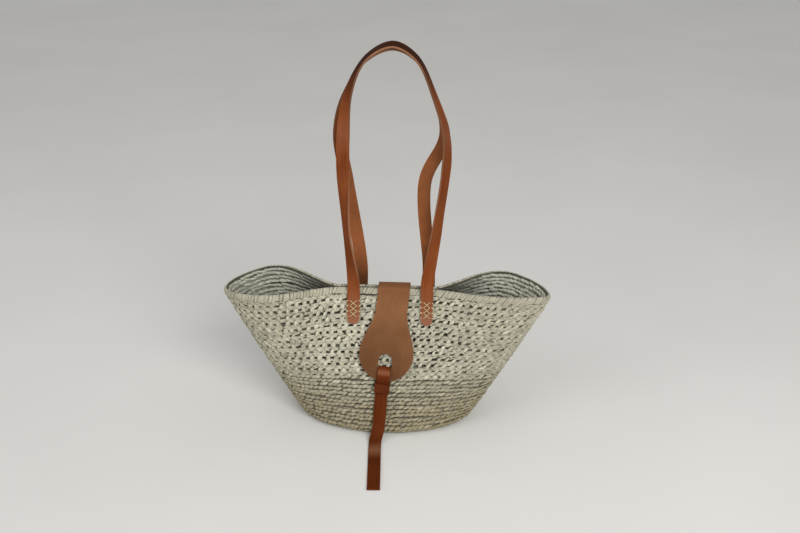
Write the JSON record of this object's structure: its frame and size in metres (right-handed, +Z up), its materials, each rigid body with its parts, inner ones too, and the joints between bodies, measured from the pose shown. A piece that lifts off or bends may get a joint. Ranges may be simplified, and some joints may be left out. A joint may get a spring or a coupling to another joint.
{
  "type": "straw tote bag",
  "caption": "Plaited straw tote with a pinched two-lobed mouth, leather shoulder handles laced to the wall, a folding leather closing flap and a knotted closing thong.",
  "frame": {"origin": "centre of the base, on the surface the bag stands on", "axes": "+Z up, -Y towards the front where the flap and thong hang, +X along the mouth to the right as seen from the front"},
  "size_m": [0.449, 0.2677, 0.5337],
  "materials": {
    "straw": "dry plaited palm straw, matt",
    "strap_leather": "smooth waxed tan leather with raw edges",
    "flap_leather": "plain smooth brown leather",
    "thong_leather": "dark red-brown leather thong",
    "thread": "waxed cream thread"
  },
  "bodies": {
    "basket": {"basket_base": "straw", "basket_wall": "straw", "rim_course": "straw", "front_handle_left_end": "strap_leather", "front_handle_left_lacing": "thread", "front_handle_right_end": "strap_leather", "front_handle_right_lacing": "thread", "rear_handle_left_end": "strap_leather", "rear_handle_left_lacing": "thread", "rear_handle_right_end": "strap_leather", "rear_handle_right_lacing": "thread", "flap_tail": "flap_leather", "flap_tail_left_lacing": "thread", "flap_tail_right_lacing": "thread"},
    "front_handle": {"front_handle": "strap_leather"},
    "rear_handle": {"rear_handle": "strap_leather"},
    "flap": {"flap": "flap_leather", "thong_knot": "thong_leather"},
    "thong": {"thong_tail": "thong_leather"}
  },
  "joints": [
    {"name": "front_handle_swing", "type": "hinge", "parent": "basket", "child": "front_handle", "pos_m": [0.0065, -0.01121, 0.18654], "axis": [1, -0.0049, -0.0026], "range_deg": [0, 115]},
    {"name": "rear_handle_swing", "type": "hinge", "parent": "basket", "child": "rear_handle", "pos_m": [0.0115, 0.01171, 0.1877], "axis": [-0.9999, -0.0153, 0.0016], "range_deg": [0, 115]},
    {"name": "flap_lift", "type": "hinge", "parent": "basket", "child": "flap", "pos_m": [0.0115, 0.01035, 0.19792], "axis": [-1, 0, 0], "range_deg": [0, 180]},
    {"name": "thong_swing", "type": "hinge", "parent": "flap", "child": "thong", "pos_m": [-0.00328, -0.05857, 0.05682], "axis": [-0.995, 0.0383, 0.0922], "range_deg": [0, 100]}
  ]
}
